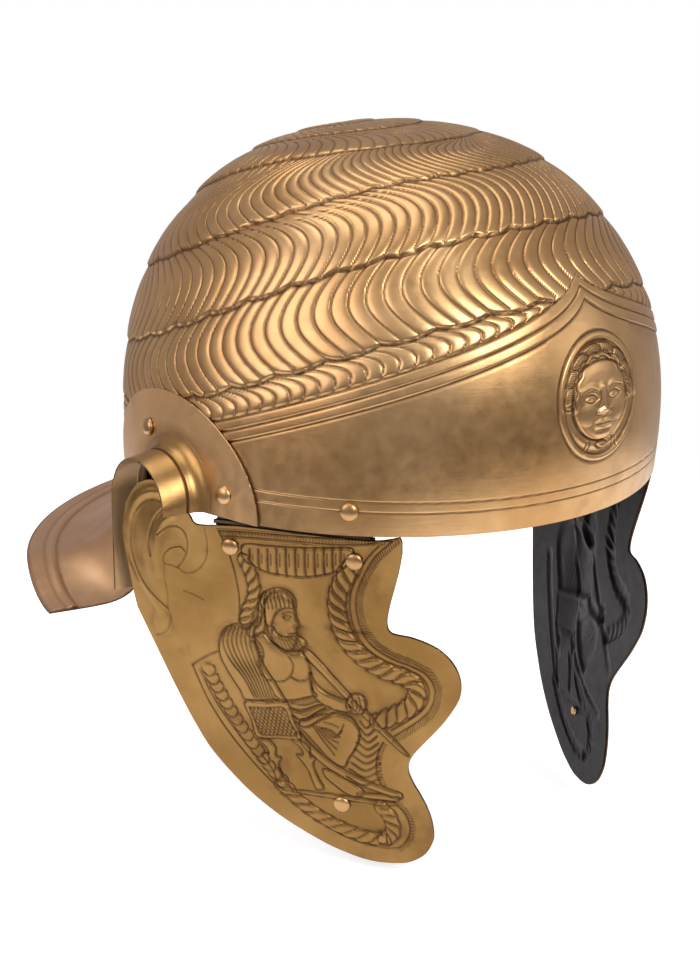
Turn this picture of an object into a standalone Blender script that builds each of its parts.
"""Roman cavalry helmet in sheet brass.

One raised bowl carries the hair pattern, the brow band, the medallion and the flared
neck guard. Side plates with arched ear guards are riveted to it, and two cheek guards
hang from hinges inside the rim. Metres, +Z up. The wearer faces -Y, and the origin is
the centre of the rim. Pieces are drawn for the wearer's right side and mirrored.
"""

import math
from collections import namedtuple

import bmesh
import bpy
from mathutils import Matrix, Vector

# Bowl
HALF_WIDTH = 0.101          # rim, centre to the outside, across the wearer
FRONT_REACH = 0.1032        # rim, centre to the forehead
BACK_REACH = 0.105          # rim, centre to the nape
CROWN_HEIGHT = 0.1305
SHEET = 0.0012              # thickness of the bowl and of the side plates
GAP = 0.0003                # between pieces that touch
HAIR_RELIEF = 0.0009        # how far a lock stands out at its proud lower edge
BAND_RELIEF = 0.0007        # the two fillets of the brow band
BAND_PEAK = 0.0043          # how far the band rises to a point over the medallion
BAND_PEAK_SPREAD = math.radians(5)
MEDALLION_WIDTH = 0.040
MEDALLION_HEIGHT = 0.048
MEDALLION_LEVEL = 0.0445    # its centre above the rim
MEDALLION_RELIEF = 0.0018

# Neck guard
NECK_RADIUS = 0.143         # outer edge, from the helmet's centre
NECK_ROOT = 0.014           # where the flare begins, below the rim
NECK_DROP = 0.035           # outer edge below the rim, at the nape
NECK_END_DROP = 0.042       # the same at its two ends
NECK_END_SPREAD = math.radians(19)
NECK_BORDER = 0.0095
BORDER_RELIEF = 0.0006

# Ear cut-out and the plate that carries the ear guard
EAR_CENTRE = 0.0117         # behind the helmet's centre
EAR_LEVEL = 0.0036          # centre of the arch above the rim
EAR_RADIUS = 0.016          # clear radius of the arch
EAR_FRONT_END = 0.0010      # front leg ends this far above the rim
EAR_REAR_END = 0.036        # rear leg ends this far below the rim
EAR_PROJECTION = 0.0155
EAR_SWEEP = 0.0023          # the outer arch lies further back
EAR_SAG = 0.0022            # and lower
EAR_COLLAR = 0.0055
EAR_FILLET = 0.0015
PLATE_CENTRE = math.radians(100)
PLATE_SPREAD = math.radians(28)
PLATE_HEIGHT = 0.040
PLATE_TAIL = 0.012          # the plate's rear foot below the rim

# Cheek guards
GUARD_LENGTH = 0.136        # hinge axis to the tip
GUARD_REACH = 0.068         # hinge centre to the rear edge
GUARD_SHEET = 0.0012
GUARD_BEND = 1.3            # radius of the guard's bend across its width
GUARD_TILT = math.radians(8.8)
GUARD_TOP = 0.0006          # its top edge above the hinge axis
EAR_SWELL = 0.0030
FIGURE_SWELL = 0.0016

# Hinges
HINGE_TOE_IN = math.radians(26.4)
HINGE_OUT = 0.08469         # hinge centre from the helmet's centre, sideways
HINGE_FORWARD = 0.03695     # and forwards
HINGE_DROP = 0.0030         # hinge axis below the rim
HINGE_LENGTH = 0.060
KNUCKLES = 5
KNUCKLE_RADIUS = 0.0015
KNUCKLE_BORE = 0.00095
PIN_RADIUS = 0.0008
LEAF_SHEET = 0.0010
BOWL_LEAF_HEIGHT = 0.0160   # above the axis
GUARD_LEAF_HEIGHT = 0.0135  # below the axis
SHEET_TO_AXIS = KNUCKLE_RADIUS + GUARD_SHEET / 2 + 0.0007

# Rivets
RIVET_HEAD = 0.0034
RIVET_RISE = 0.0020
RIVET_SHANK = 0.0011
RIVET_TAIL = 0.0019
RIVET_TAIL_RISE = 0.0008
HINGE_RIVET_SPACING = 0.048
RIM_RIVET_LEVEL = 0.0090    # above the rim
GUARD_RIVET_DROP = 0.0080   # below the hinge axis
PLATE_RIVET_ANGLE = math.radians(107)
PLATE_RIVET_LEVEL = 0.0240
LOW_RIVET = (-0.0133, -0.1121)

SIDES = {"right": False, "left": True}
NECK_START = math.atan2(HALF_WIDTH, -(EAR_CENTRE + EAR_RADIUS + SHEET + EAR_FILLET + 3 * GAP))

# How full each meridian is, and how far it bulges over the rim
Profile = namedtuple("Profile", "fullness bulge")
SIDE_PROFILE = Profile(2.37, -0.026)
FRONT_PROFILE = Profile(2.51, 0.086)
BACK_PROFILE = Profile(2.34, 0.105)

# Lines round the bowl: shares of the crown height at the front, side and back.
# round_share 0 is straight in angle, 1 follows the cosine, like a tilted plane.
Line = namedtuple("Line", "front side back round_share")
LINES = {
    "rim": Line(0.0, 0.0, 0.0, 1),
    "band_low": Line(0.570, 0.171, 0.031, 0),
    "band_high": Line(0.636, 0.237, 0.092, 0),
    "hair_2": Line(0.632, 0.326, 0.161, 1),
    "hair_3": Line(0.801, 0.559, 0.291, 1),
    "hair_4": Line(0.929, 0.782, 0.513, 1),
    "hair_5": Line(0.989, 0.942, 0.690, 1),
}

# Rings of the bowl between two lines: share of the way up, and the relief there
Ring = namedtuple("Ring", "low high share kind relief")
RINGS = (
    [Ring("rim", "band_low", s, "plain", 0) for s in (0, 0.22, 0.42, 0.62, 0.82, 1)]
    + [Ring("band_low", "band_high", s, "band", r) for s, r in
       ((0.2, 1), (0.5, 0.2), (0.8, 1), (1, 0))]
    + [Ring(low, high, s, "hair", r)
       for low, high in (("band_high", "hair_2"), ("hair_2", "hair_3"),
                         ("hair_3", "hair_4"), ("hair_4", "hair_5"))
       for s, r in ((0.06, 1), (0.5, 0.8), (0.97, 0.2))]
    + [Ring("hair_5", "crown", s, "hair", r)
       for s, r in ((0.05, 1), (0.35, 0.8), (0.7, 0.6), (1, 0.5))]
)

# The neck guard's section, from its outer edge to the wall
NECK_SHARES = (1.0, 0.78, 0.76, 0.5, 0.28, 0.1, 0.0)

# Columns of the bowl: angle from the front in degrees, and how many steps lead there
Zone = namedtuple("Zone", "end steps")
ZONES = (Zone(math.radians(12), 4), Zone(math.radians(87), 8), Zone(NECK_START, 3),
         Zone(math.pi, 8))

# Cheek guard: heights as shares of its length, edges as shares of its reach
GuardRow = namedtuple("GuardRow", "height front rear")
GUARD_ROWS = (
    GuardRow(-0.060, -0.603, 0.994), GuardRow(-0.132, -0.562, 0.991),
    GuardRow(-0.206, -0.520, 0.974), GuardRow(-0.261, -0.517, 0.959),
    GuardRow(-0.279, -0.700, 0.956), GuardRow(-0.309, -0.816, 0.934),
    GuardRow(-0.368, -0.894, 0.890), GuardRow(-0.404, -0.907, 0.857),
    GuardRow(-0.478, -0.863, 0.797), GuardRow(-0.562, -0.746, 0.726),
    GuardRow(-0.647, -0.609, 0.643), GuardRow(-0.684, -0.590, 0.606),
    GuardRow(-0.724, -0.613, 0.553), GuardRow(-0.757, -0.650, 0.503),
    GuardRow(-0.831, -0.707, 0.357), GuardRow(-0.912, -0.712, 0.129),
    GuardRow(-0.956, -0.663, -0.059), GuardRow(-0.988, -0.571, -0.225),
    GuardRow(-1.000, -0.450, -0.390),
)
TOP_EDGE = GuardRow(0, -0.619, 0.976)
EAR_ROWS = (GuardRow(0.020, 0.585, 0.968), GuardRow(0.051, 0.654, 0.938),
            GuardRow(0.088, 0.725, 0.891), GuardRow(0.109, 0.770, 0.840))
GUARD_COLUMNS = (0, 0.12, 0.25, 0.38, 0.5, 0.63, 0.752, 0.82, 0.88, 0.94, 1)
EAR_FIRST_COLUMN = 0.752    # the ear rises behind this share of the width

# Raised forms of the guard: centre and half sizes as shares of reach and length
Swelling = namedtuple("Swelling", "x z half_x half_z rise")
SWELLINGS = (
    Swelling(0.80, -0.10, 0.17, 0.20, EAR_SWELL),
    Swelling(0.10, -0.47, 0.26, 0.27, FIGURE_SWELL),
)

# name: colour, roughness
BRASSES = {
    "bowl_brass": ((0.60, 0.40, 0.20, 1), 0.30),
    "guard_brass": ((0.50, 0.34, 0.14, 1), 0.34),
    "plate_brass": ((0.62, 0.42, 0.22, 1), 0.30),
    "hinge_brass": ((0.20, 0.14, 0.11, 1), 0.45),
    "rivet_brass": ((0.55, 0.38, 0.20, 1), 0.32),
}


# ---- the bowl's surface ----

def reach(share, base, profile):
    """Half size of the bowl at a share of the crown height."""
    share = min(max(share, 0.0), 1.0)
    full = max(1 - share ** profile.fullness, 0.0) ** (1 / profile.fullness)
    return base * full * (1 + profile.bulge * math.sin(math.pi * share))


def wall_point(angle, z, out=0.0):
    """Point of the wall at an angle from the front, moved out by a little."""
    share = z / CROWN_HEIGHT
    side = reach(share, HALF_WIDTH, SIDE_PROFILE) + out
    if math.cos(angle) > 0:
        ahead = reach(share, FRONT_REACH, FRONT_PROFILE) + out
    else:
        ahead = reach(share, BACK_REACH, BACK_PROFILE) + out
    radius = 1 / math.hypot(math.sin(angle) / side, math.cos(angle) / ahead) if side > 1e-9 else 0
    return Vector((radius * math.sin(angle), -radius * math.cos(angle), z))


def wall_normal(angle, z):
    """Outward direction of the wall."""
    step = 0.01
    along = wall_point(angle + step, z) - wall_point(angle - step, z)
    up = wall_point(angle, z + 0.001) - wall_point(angle, z - 0.001)
    return along.cross(up).normalized()


def side_point(y, z, out):
    """Point of the right wall at a given place along the head."""
    share = z / CROWN_HEIGHT
    side = reach(share, HALF_WIDTH, SIDE_PROFILE) + out
    base, profile = (FRONT_REACH, FRONT_PROFILE) if y < 0 else (BACK_REACH, BACK_PROFILE)
    ahead = reach(share, base, profile) + out
    return Vector((-side * math.sqrt(max(1 - (y / ahead) ** 2, 0)), y, z))


def climb(z):
    """Height turned into a coordinate that is nearly even along the wall."""
    share = z / CROWN_HEIGHT
    return 1 - (1 - share) ** 0.45 if share > 0 else 0.45 * share


def unclimb(value):
    """The height that a climb stands for."""
    share = 1 - (1 - min(value, 1.0)) ** (1 / 0.45) if value > 0 else value / 0.45
    return share * CROWN_HEIGHT


def line_height(name, angle):
    """Height of a named line round the bowl."""
    if name == "crown":
        return CROWN_HEIGHT
    line, turn = LINES[name], abs(angle) / (math.pi / 2)
    weight = line.round_share * math.cos(angle) + (1 - line.round_share) * (1 - turn)
    far = line.front if weight > 0 else 2 * line.side - line.back
    z = (line.side + (far - line.side) * weight) * CROWN_HEIGHT
    peak = BAND_PEAK * math.exp(-abs(angle) / BAND_PEAK_SPREAD)
    if name.startswith("band"):
        z += peak
    if name == "hair_2":
        z = max(z, line_height("band_high", angle) + 0.0025)
    return z


def plate_height(angle):
    """Upper edge of the side plate at an angle, 0 outside it."""
    offset = (abs(angle) - PLATE_CENTRE) / PLATE_SPREAD
    return PLATE_HEIGHT * math.sqrt(1 - offset ** 2) if abs(offset) < 1 else 0.0


def under_plate(angle, z):
    """Whether the side plate or its margin covers this point of the bowl."""
    margin = 1.42
    offset = (abs(angle) - PLATE_CENTRE) / PLATE_SPREAD
    return offset ** 2 + (z / PLATE_HEIGHT) ** 2 < margin ** 2


def medallion_rise(angle, z):
    """Height of the medallion's cushion at a point of the brow."""
    across = angle * FRONT_REACH / (MEDALLION_WIDTH / 2)
    up = (z - MEDALLION_LEVEL) / (MEDALLION_HEIGHT / 2)
    return MEDALLION_RELIEF if across ** 2 + up ** 2 < 1 else 0.0


def ring_relief(ring, angle, z):
    """How far a point of a ring stands out of the plain bowl."""
    if ring.kind == "plain":
        return medallion_rise(angle, z)
    if under_plate(angle, z):
        return 0.0
    return ring.relief * (HAIR_RELIEF if ring.kind == "hair" else BAND_RELIEF)


def neck_edge_drop(angle):
    """Outer edge of the neck guard below the rim."""
    share = 1 - min(max((abs(angle) - NECK_START) / NECK_END_SPREAD, 0), 1)
    return NECK_DROP + (NECK_END_DROP - NECK_DROP) * share


def neck_point(angle, share):
    """Point of the neck guard, from the wall at 0 to the outer edge at 1."""
    root = wall_point(angle, 0)
    width = NECK_RADIUS - root.length
    fall = neck_edge_drop(angle) - NECK_ROOT
    point = root + root.normalized() * width * share ** 1.25
    point.z = -NECK_ROOT - fall * (1 - (1 - share) ** 2.4)
    if width * (1 - share) < NECK_BORDER:
        point.z += BORDER_RELIEF
    return point


# ---- objects and modifiers ----

def clear_scene():
    """Remove every object, so that the script can be run again."""
    for obj in list(bpy.data.objects):
        bpy.data.objects.remove(obj, do_unlink=True)


def make_collection(name):
    """A new collection in the scene."""
    group = bpy.data.collections.new(name)
    bpy.context.scene.collection.children.link(group)
    return group


def make_material(name):
    """A brass with its own colour and roughness."""
    colour, roughness = BRASSES[name]
    material = bpy.data.materials.new(name)
    material.use_nodes = True
    shader = material.node_tree.nodes["Principled BSDF"]
    shader.inputs["Base Color"].default_value = colour
    shader.inputs["Metallic"].default_value = 1.0
    shader.inputs["Roughness"].default_value = roughness
    return material


def to_object(bm, name, group, material=None, frame=Matrix.Identity(4), mirrored=False):
    """Turn a bmesh into an object, mirrored across its own X for the left side."""
    if mirrored:
        bmesh.ops.scale(bm, vec=(-1, 1, 1), verts=bm.verts)
        bmesh.ops.reverse_faces(bm, faces=bm.faces)
    mesh = bpy.data.meshes.new(name)
    bm.to_mesh(mesh)
    bm.free()
    mesh.shade_smooth()
    mesh.set_sharp_from_angle(angle=math.radians(35))
    obj = bpy.data.objects.new(name, mesh)
    obj.matrix_world = frame
    group.objects.link(obj)
    if material:
        mesh.materials.append(material)
    return obj


def sheet_from_grid(columns, rows, place, keep=lambda column, row: True):
    """A grid whose vertices are moved by place(column value, row value)."""
    bm = bmesh.new()
    bmesh.ops.create_grid(bm, x_segments=len(columns) - 1, y_segments=len(rows) - 1, size=1)
    spots = {}
    for vert in bm.verts:
        column = round((vert.co.x + 1) / 2 * (len(columns) - 1))
        row = round((vert.co.y + 1) / 2 * (len(rows) - 1))
        spots[vert] = (column, row)
    doomed = [face for face in bm.faces
              if not keep(min(spots[v][0] for v in face.verts), min(spots[v][1] for v in face.verts))]
    bmesh.ops.delete(bm, geom=doomed, context="FACES")
    for vert in bm.verts:
        column, row = spots[vert]
        vert.co = place(columns[column], rows[row])
    bmesh.ops.remove_doubles(bm, verts=bm.verts, dist=0.00002)
    return bm


def thicken(obj, thickness, offset=-1.0):
    """Give a sheet its thickness; offset -1 keeps the face that is drawn outside."""
    solid = obj.modifiers.new("Thickness", "SOLIDIFY")
    solid.thickness = thickness
    solid.offset = offset
    solid.use_even_offset = True


def boolean(obj, cutter, operation="DIFFERENCE"):
    """Cut or join with another object, which is then only a guide."""
    cut = obj.modifiers.new(cutter.name, "BOOLEAN")
    cut.operation = operation
    cut.object = cutter
    cut.solver = "EXACT"
    cutter.hide_render = True
    cutter.display_type = "WIRE"


def shift_frame(origin, x_axis, z_axis):
    """A frame at a point whose Z and X axes lie as given."""
    z_axis = z_axis.normalized()
    y_axis = z_axis.cross(x_axis).normalized()
    x_axis = y_axis.cross(z_axis)
    frame = Matrix((x_axis, y_axis, z_axis)).transposed().to_4x4()
    frame.translation = origin
    return frame


def rod(radius, length, frame, segments=10):
    """A closed cylinder along its frame's Z, centred on it."""
    bm = bmesh.new()
    bmesh.ops.create_cone(bm, cap_ends=True, segments=segments, radius1=radius,
                          radius2=radius, depth=length)
    bmesh.ops.transform(bm, matrix=frame, verts=bm.verts)
    return bm


# ---- the bowl ----

def column_angles():
    """Angles of the bowl's columns, from the nape round the face to the nape."""
    half, start = [], 0.0
    for zone in ZONES:
        half += [start + (zone.end - start) * k / zone.steps for k in range(zone.steps)]
        start = zone.end
    half.append(math.pi)
    return [-a for a in reversed(half[1:])] + half


def bowl_point(angle, ring):
    """Vertex of the bowl on a ring, or of the neck guard on a share of its width."""
    if not isinstance(ring, Ring):
        return neck_point(angle, ring)
    low, high = climb(line_height(ring.low, angle)), climb(line_height(ring.high, angle))
    z = unclimb(low + (high - low) * ring.share)
    point = wall_point(angle, z)
    slope = climb(z)
    out = Vector((math.sin(angle) * (1 - slope), -math.cos(angle) * (1 - slope), slope ** 2))
    return point + out.normalized() * ring_relief(ring, angle, z)


def make_bowl(group, cutters, material):
    """Raise the bowl and the neck guard from one sheet."""
    angles, rows = column_angles(), list(NECK_SHARES) + RINGS

    def keep(column, row):
        behind = abs(angles[column] + angles[column + 1]) / 2 > NECK_START
        return behind or row >= len(NECK_SHARES)

    bm = sheet_from_grid(angles, rows, bowl_point, keep)
    bowl = to_object(bm, "bowl", group, material)
    thicken(bowl, SHEET)
    for side, mirrored in SIDES.items():
        boolean(bowl, ear_cutter(f"cut_ear_{side}", cutters, EAR_RADIUS + GAP, mirrored))
    return bowl


def arch_path(radius, share, rear_end=-EAR_REAR_END):
    """Point (y, z) along an arch over the ear, front foot at 0 and rear foot at 1."""
    front, arc = EAR_LEVEL - EAR_FRONT_END, math.pi * EAR_RADIUS
    rear = EAR_LEVEL - rear_end
    run = share * (front + arc + rear)
    if run < front:
        return EAR_CENTRE - radius, EAR_FRONT_END + run
    if run < front + arc:
        turn = math.pi * (run - front) / arc
        return EAR_CENTRE - radius * math.cos(turn), EAR_LEVEL + radius * math.sin(turn)
    return EAR_CENTRE + radius, EAR_LEVEL - (run - front - arc)


def ear_cutter(name, group, radius, mirrored):
    """A block with an arched top, across one side wall."""
    bm = bmesh.new()
    outline = [(EAR_CENTRE - radius, -2 * EAR_REAR_END), (EAR_CENTRE - radius, EAR_LEVEL)]
    outline += [(EAR_CENTRE - radius * math.cos(math.pi * k / 10),
                 EAR_LEVEL + radius * math.sin(math.pi * k / 10)) for k in range(1, 10)]
    outline += [(EAR_CENTRE + radius, EAR_LEVEL), (EAR_CENTRE + radius, -2 * EAR_REAR_END)]
    verts = [bm.verts.new((-HALF_WIDTH / 2, y, z)) for y, z in outline]
    face = bm.faces.new(verts)
    grown = bmesh.ops.extrude_face_region(bm, geom=[face])
    moved = [v for v in grown["geom"] if isinstance(v, bmesh.types.BMVert)]
    bmesh.ops.translate(bm, vec=(-HALF_WIDTH, 0, 0), verts=moved)
    bmesh.ops.recalc_face_normals(bm, faces=bm.faces)
    return to_object(bm, name, group, mirrored=mirrored)


# ---- side plate and ear guard ----

def plate_edge(share):
    """Point (angle, z) of the plate's outer edge, front foot at 0, rear foot at 1."""
    tail = 0.86
    turn = math.pi * min(share / tail, 1)
    angle = PLATE_CENTRE - PLATE_SPREAD * math.cos(turn)
    z = PLATE_HEIGHT * math.sin(turn)
    if share > tail:
        down = (share - tail) / (1 - tail)
        angle -= PLATE_SPREAD * 0.55 * down ** 2
        z = -PLATE_TAIL * down
    return angle, z


def ear_guard_point(share, step):
    """Point of the soldered plate and arch, from the plate's edge out to the lip."""
    out = GAP + SHEET
    collar = EAR_RADIUS + SHEET + EAR_COLLAR
    if step <= 1:
        angle, z = plate_edge(share)
        edge = wall_point(angle, z, out)
        edge.x = -edge.x
        y, z = arch_path(collar, share, -PLATE_TAIL)
        inner = side_point(y, z, out)
        middle = side_point(*((edge + (inner - edge) * step).yz), out)
        return middle
    radius = EAR_RADIUS + SHEET + EAR_FILLET
    if step == 2:
        y, z = arch_path(radius, share, -PLATE_TAIL)
        return side_point(y, z, out + 0.0002)
    rise = (step - 2) / 2 * EAR_PROJECTION
    y, z = arch_path(EAR_RADIUS + SHEET, share)
    lip = (step - 2) / 2
    foot = side_point(y, max(z, 0), out)
    reach_out = max(rise, EAR_FILLET)
    return Vector((foot.x - reach_out, y + EAR_SWEEP * lip, z - EAR_SAG * lip * (z > EAR_LEVEL)))


def make_ear_guard(side, mirrored, group, cutters, material):
    """The side plate with its soldered arch over the ear."""
    shares = [k / 20 for k in range(21)]
    steps = (4, 3, 2.2, 2, 1, 0.75, 0.5, 0.25, 0)
    bm = sheet_from_grid(shares, steps, ear_guard_point)
    bmesh.ops.recalc_face_normals(bm, faces=bm.faces)
    if max(bm.faces, key=lambda f: f.calc_center_median().z).normal.x > 0:
        bmesh.ops.reverse_faces(bm, faces=bm.faces)
    guard = to_object(bm, f"ear_guard_{side}", group, material, mirrored=mirrored)
    thicken(guard, SHEET)
    return guard


# ---- cheek guards ----

def hinge_frame(mirrored, tilt=0.0):
    """Frame on the hinge axis: X rearwards on the right side, Y outwards, Z up."""
    sign = -1 if mirrored else 1
    along = Vector((-math.sin(HINGE_TOE_IN), sign * math.cos(HINGE_TOE_IN), 0))
    origin = Vector((-sign * HINGE_OUT, -HINGE_FORWARD, -HINGE_DROP))
    return shift_frame(origin, along, Vector((0, 0, 1))) @ Matrix.Rotation(-tilt, 4, "X")


def guard_depth(x):
    """Place of the guard's middle sheet out from the hinge axis."""
    return SHEET_TO_AXIS - x * x / (2 * GUARD_BEND)


def guard_swell(x, z):
    """Height of the raised ear and of the raised figure at a point of the guard."""
    total = 0.0
    for s in SWELLINGS:
        across = (x / GUARD_REACH - s.x) / s.half_x
        up = (z / GUARD_LENGTH - s.z) / s.half_z
        far = across ** 2 + up ** 2
        total += s.rise * (1 - far) ** 2 if far < 1 else 0.0
    return total


def guard_point(column, row):
    """Point of the guard's outer face at a share of its width on a row."""
    front, rear = row.front * GUARD_REACH, row.rear * GUARD_REACH
    z = row.height * GUARD_LENGTH + (GUARD_TOP if row is TOP_EDGE else 0)
    share = column
    if row in EAR_ROWS:
        share = (column - EAR_FIRST_COLUMN) / (1 - EAR_FIRST_COLUMN)
    x = front + (rear - front) * share
    return Vector((x, guard_depth(x) + GUARD_SHEET / 2 + guard_swell(x, z), z))


def make_cheek_guard(side, mirrored, group, cutters, material):
    """One cheek guard: a bent sheet with the raised ear behind."""
    rows = list(reversed(GUARD_ROWS)) + [TOP_EDGE] + list(EAR_ROWS)
    top_row, first = len(GUARD_ROWS), GUARD_COLUMNS.index(EAR_FIRST_COLUMN)
    bm = sheet_from_grid(GUARD_COLUMNS, rows, guard_point,
                         lambda column, row: row < top_row or column >= first)
    bmesh.ops.reverse_faces(bm, faces=bm.faces)
    frame = hinge_frame(mirrored, GUARD_TILT)
    guard = to_object(bm, f"cheek_guard_{side}", group, material, frame, mirrored)
    thicken(guard, GUARD_SHEET)
    for k, (x, z) in enumerate(guard_rivet_spots()):
        hole = hole_cutter(f"cut_guard_{side}_{k}", cutters, guard_rivet_frame(x, z), frame, mirrored)
        boolean(guard, hole)
    return guard


def guard_rivet_spots():
    """Places of the guard's rivets, front and rear of the hinge and low down."""
    half = HINGE_RIVET_SPACING / 2
    return ((-half, -GUARD_RIVET_DROP), (half, -GUARD_RIVET_DROP), LOW_RIVET)


def guard_rivet_frame(x, z):
    """Frame of a guard rivet, its head's seat on the outer face."""
    y = guard_depth(x) + GUARD_SHEET / 2 + guard_swell(x, z)
    out = Vector((x / GUARD_BEND, 1, 0))
    return shift_frame(Vector((x, y, z)), Vector((1, 0, 0)), out)


def hole_cutter(name, group, spot, frame, mirrored):
    """A round cutter for a rivet's clearance hole."""
    return to_object(rod(RIVET_SHANK + GAP, 0.016, spot, 8), name, group, None, frame, mirrored)


# ---- hinges ----

def knuckle_spans(parity):
    """Ends along the axis of every second knuckle."""
    width = HINGE_LENGTH / KNUCKLES
    start = -HINGE_LENGTH / 2
    return [(start + k * width + GAP / 2, start + (k + 1) * width - GAP / 2)
            for k in range(KNUCKLES) if k % 2 == parity]


def wall_depth(x, z):
    """Distance from the hinge axis out to the bowl's inner face, in the hinge's frame."""
    frame = hinge_frame(False)
    low, high = -0.010, 0.030
    for _ in range(24):
        middle = (low + high) / 2
        point = frame @ Vector((x, middle, z))
        angle = math.atan2(point.x, -point.y)
        wall = wall_point(angle, max(point.z, 0), -SHEET)
        low, high = (middle, high) if point.xy.length < wall.xy.length else (low, middle)
    return low


def smooth(value):
    """0 to 1 with level ends."""
    value = min(max(value, 0), 1)
    return value * value * (3 - 2 * value)


def bowl_leaf_depth(x, z):
    """Middle of the bowl's leaf: upright over the axis, then out to the wall."""
    seat = wall_depth(x, z) - 1.5 * GAP - LEAF_SHEET / 2
    return seat * smooth((z - 0.0040) / 0.0040)


def guard_leaf_depth(x, z):
    """Middle of the guard's leaf: from the axis out to the guard's inner face."""
    seat = guard_depth(x) - GUARD_SHEET / 2 - GAP - LEAF_SHEET / 2
    return seat * smooth((-z - 0.0012) / 0.0030)


def leaf_columns(spans):
    """Values along the axis where the leaf's columns run."""
    ends = sorted({value for span in spans for value in (span[0] + GAP, span[1] - GAP)})
    if ends[0] > -HINGE_LENGTH / 2 + 2 * GAP:
        ends = [-HINGE_LENGTH / 2 + GAP / 2] + ends + [HINGE_LENGTH / 2 - GAP / 2]
    return ends


def make_leaf(name, spans, rows, depth, rivets, side_info, group, cutters, material):
    """One hinge leaf: a bent plate with its rolled knuckles."""
    mirrored, frame = side_info
    columns = leaf_columns(spans)

    def keep(column, row):
        middle = (columns[column] + columns[column + 1]) / 2
        return row > 0 or any(start < middle < end for start, end in spans)

    bm = sheet_from_grid(columns, rows, lambda x, z: Vector((x, depth(x, z), z)), keep)
    leaf = to_object(bm, name, group, material, frame, mirrored)
    thicken(leaf, LEAF_SHEET, 0.0)
    for k, (start, end) in enumerate(spans):
        spot = shift_frame(Vector(((start + end) / 2, 0, 0)), Vector((0, 0, 1)), Vector((1, 0, 0)))
        roll = to_object(rod(KNUCKLE_RADIUS, end - start, spot), f"roll_{name}_{k}", cutters,
                         None, frame, mirrored)
        boolean(leaf, roll, "UNION")
    spot = shift_frame(Vector((0, 0, 0)), Vector((0, 0, 1)), Vector((1, 0, 0)))
    bore = to_object(rod(KNUCKLE_BORE, HINGE_LENGTH * 1.1, spot), f"bore_{name}", cutters,
                     None, frame, mirrored)
    boolean(leaf, bore)
    for k, spot in enumerate(rivets):
        boolean(leaf, hole_cutter(f"cut_{name}_{k}", cutters, spot, frame, mirrored))
    return leaf


def rim_rivet_frame(x, out):
    """Frame of a rim rivet in the hinge's level frame, square to the bowl's wall."""
    frame = hinge_frame(False)
    z = RIM_RIVET_LEVEL + HINGE_DROP
    point = frame @ Vector((x, wall_depth(x, z), z))
    angle = math.atan2(point.x, -point.y)
    normal = wall_normal(angle, point.z)
    seat = wall_point(angle, point.z) + normal * out
    return frame.inverted() @ shift_frame(seat, Vector((0, 0, 1)), normal)


def make_hinge(side, mirrored, group, cutters, material):
    """Two leaves and a pin."""
    level, tilted = hinge_frame(mirrored), hinge_frame(mirrored, GUARD_TILT)
    half = HINGE_RIVET_SPACING / 2
    tab = (KNUCKLE_RADIUS + KNUCKLE_BORE) / 2
    clear = KNUCKLE_RADIUS + 2 * GAP
    rows = (tab, clear, 0.0042, 0.0055, 0.0070, 0.0085, BOWL_LEAF_HEIGHT)
    seats = [rim_rivet_frame(x, 0) for x in (-half, half)]
    top = make_leaf(f"hinge_bowl_leaf_{side}", knuckle_spans(0), rows, bowl_leaf_depth, seats,
                    (mirrored, level), group, cutters, material)
    rows = (-tab, -clear, -0.0032, -0.0045, -GUARD_LEAF_HEIGHT)
    seats = [guard_rivet_frame(x, z) for x, z in guard_rivet_spots()[:2]]
    low = make_leaf(f"hinge_guard_leaf_{side}", knuckle_spans(1), rows, guard_leaf_depth, seats,
                    (mirrored, tilted), group, cutters, material)
    spot = shift_frame(Vector((0, 0, 0)), Vector((0, 0, 1)), Vector((1, 0, 0)))
    pin = to_object(rod(PIN_RADIUS, HINGE_LENGTH + 0.002, spot), f"hinge_pin_{side}", group,
                    material, level, mirrored)
    return top, low, pin


# ---- rivets ----

def make_rivet(name, grip, spot, frame, mirrored, group, material):
    """A round-headed rivet: profile turned round the shank, its seat at the origin."""
    profile = ((0, RIVET_RISE), (0.62 * RIVET_HEAD, 0.78 * RIVET_RISE), (RIVET_HEAD, 1.4 * GAP),
               (RIVET_SHANK, 1.4 * GAP), (RIVET_SHANK, -grip), (RIVET_TAIL, -grip),
               (0.8 * RIVET_TAIL, -grip - RIVET_TAIL_RISE), (0, -grip - RIVET_TAIL_RISE))
    bm = bmesh.new()
    verts = [bm.verts.new((r, 0, z)) for r, z in profile]
    edges = [bm.edges.new(pair) for pair in zip(verts, verts[1:])]
    bmesh.ops.spin(bm, geom=verts + edges, cent=(0, 0, 0), axis=(0, 0, 1),
                   angle=2 * math.pi, steps=8, use_merge=True, use_duplicate=False)
    bmesh.ops.remove_doubles(bm, verts=bm.verts, dist=0.00001)
    bmesh.ops.recalc_face_normals(bm, faces=bm.faces)
    bmesh.ops.transform(bm, matrix=spot, verts=bm.verts)
    return to_object(bm, name, group, material, frame, mirrored)


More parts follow.
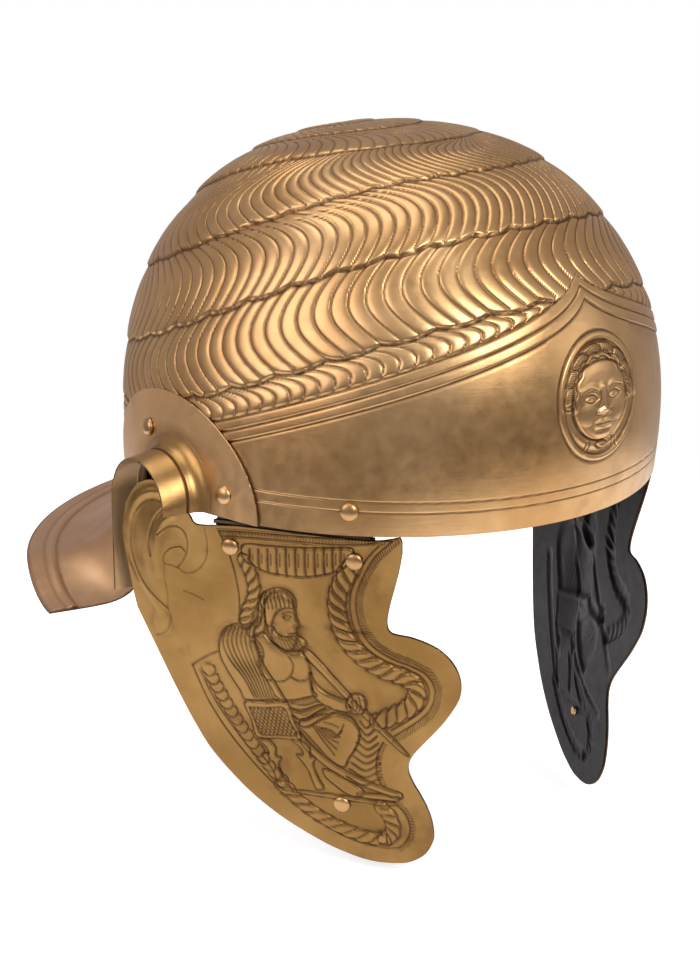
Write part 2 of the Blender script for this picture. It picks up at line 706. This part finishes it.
def make_rivets(side, mirrored, group, material):
    """Two rim rivets, one plate rivet and three guard rivets; returns the guard's."""
    level, tilted = hinge_frame(mirrored), hinge_frame(mirrored, GUARD_TILT)
    half = HINGE_RIVET_SPACING / 2
    stack = SHEET + 1.5 * GAP + LEAF_SHEET + 2 * GAP
    make_rivet(f"rim_rivet_front_{side}", stack, rim_rivet_frame(-half, 0), level, mirrored,
               group, material)
    on_plate = GAP + SHEET
    make_rivet(f"rim_rivet_rear_{side}", stack + on_plate, rim_rivet_frame(half, on_plate), level,
               mirrored, group, material)
    make_rivet(f"plate_rivet_{side}", on_plate + SHEET + 2 * GAP, plate_rivet_frame(on_plate),
               Matrix.Identity(4), mirrored, group, material)
    leaf_grip = GUARD_SHEET + GAP + LEAF_SHEET + GAP
    grips = (("front", leaf_grip), ("rear", leaf_grip), ("low", GUARD_SHEET + GAP))
    return [make_rivet(f"guard_rivet_{place}_{side}", grip, guard_rivet_frame(x, z), tilted,
                       mirrored, group, material)
            for (place, grip), (x, z) in zip(grips, guard_rivet_spots())]


def plate_rivet_frame(out):
    """Frame of the rivet at the plate's rear top."""
    angle = -PLATE_RIVET_ANGLE
    normal = wall_normal(angle, PLATE_RIVET_LEVEL)
    seat = wall_point(angle, PLATE_RIVET_LEVEL) + normal * out
    return shift_frame(seat, Vector((0, 0, 1)), normal)


def drill_fixed(bowl, plate, side, mirrored, cutters):
    """Clearance holes through the bowl and the plate for the fixed rivets."""
    half, level = HINGE_RIVET_SPACING / 2, hinge_frame(mirrored)
    front = hole_cutter(f"cut_rim_front_{side}", cutters, rim_rivet_frame(-half, 0), level, mirrored)
    rear = hole_cutter(f"cut_rim_rear_{side}", cutters, rim_rivet_frame(half, 0), level, mirrored)
    top = hole_cutter(f"cut_plate_{side}", cutters, plate_rivet_frame(0), Matrix.Identity(4), mirrored)
    for piece, holes in ((bowl, (front, rear, top)), (plate, (rear, top))):
        for hole in holes:
            boolean(piece, hole)


# ---- assembly ----

def hang(pieces, side, mirrored, group):
    """Parent the moving pieces to an empty on the hinge's axis."""
    pivot = bpy.data.objects.new(f"pivot_{side}", None)
    pivot.matrix_world = hinge_frame(mirrored)
    group.objects.link(pivot)
    bpy.context.view_layer.update()
    for piece in pieces:
        place = piece.matrix_world.copy()
        piece.parent = pivot
        piece.matrix_parent_inverse = pivot.matrix_world.inverted()
        piece.matrix_world = place


def main():
    """Build the helmet."""
    clear_scene()
    group, cutters = make_collection("roman_cavalry_helmet"), make_collection("cutters")
    brass = {name: make_material(name) for name in BRASSES}
    bowl = make_bowl(group, cutters, brass["bowl_brass"])
    for side, mirrored in SIDES.items():
        plate = make_ear_guard(side, mirrored, group, cutters, brass["plate_brass"])
        drill_fixed(bowl, plate, side, mirrored, cutters)
        guard = make_cheek_guard(side, mirrored, group, cutters, brass["guard_brass"])
        _, leaf, _ = make_hinge(side, mirrored, group, cutters, brass["hinge_brass"])
        rivets = make_rivets(side, mirrored, group, brass["rivet_brass"])
        hang([guard, leaf] + rivets, side, mirrored, group)


main()
